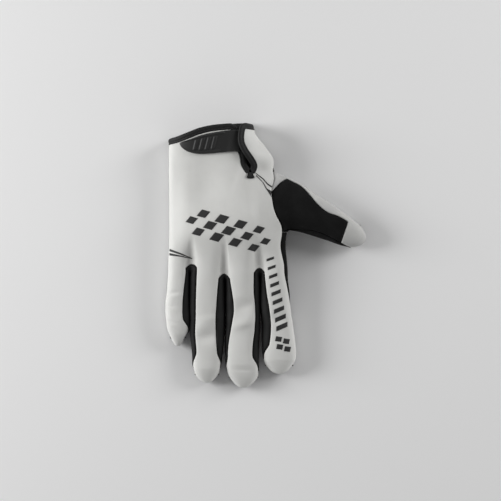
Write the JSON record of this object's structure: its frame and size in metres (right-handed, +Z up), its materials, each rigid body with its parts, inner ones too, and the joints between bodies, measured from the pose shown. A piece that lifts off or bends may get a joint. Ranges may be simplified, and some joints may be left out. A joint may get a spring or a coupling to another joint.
{
  "type": "motocross glove",
  "caption": "Full-finger riding glove for the right hand: light stretch back, dark palm, finger sides and thumb patch, bound cuff with a wrist slit, and a moulded pull tab.",
  "frame": {"origin": "middle of the glove's underside, on the surface it lies on", "axes": "+Y from the fingertips to the cuff, +X towards the thumb, +Z up out of the back of the hand"},
  "size_m": [0.1804, 0.2378, 0.0353],
  "materials": {
    "stretch_cloth_white": "matt knitted polyester",
    "stretch_cloth_grey": "matt knitted polyester",
    "stretch_cloth_black": "matt elastic cloth",
    "suede_black": "synthetic suede",
    "binding_black": "folded elastic tape",
    "moulded_rubber": "matt moulded rubber"
  },
  "bodies": {
    "root": {"back_panel": "stretch_cloth_white", "palm": "suede_black", "fourchette_little_ring": "stretch_cloth_black", "fourchette_ring_middle": "stretch_cloth_black", "fourchette_middle_index": "stretch_cloth_black", "thumb_back": "stretch_cloth_grey", "thumb_patch": "suede_black", "thumb_palm": "suede_black", "cuff_binding": "binding_black", "pull_tab": "moulded_rubber"}
  },
  "joints": []
}
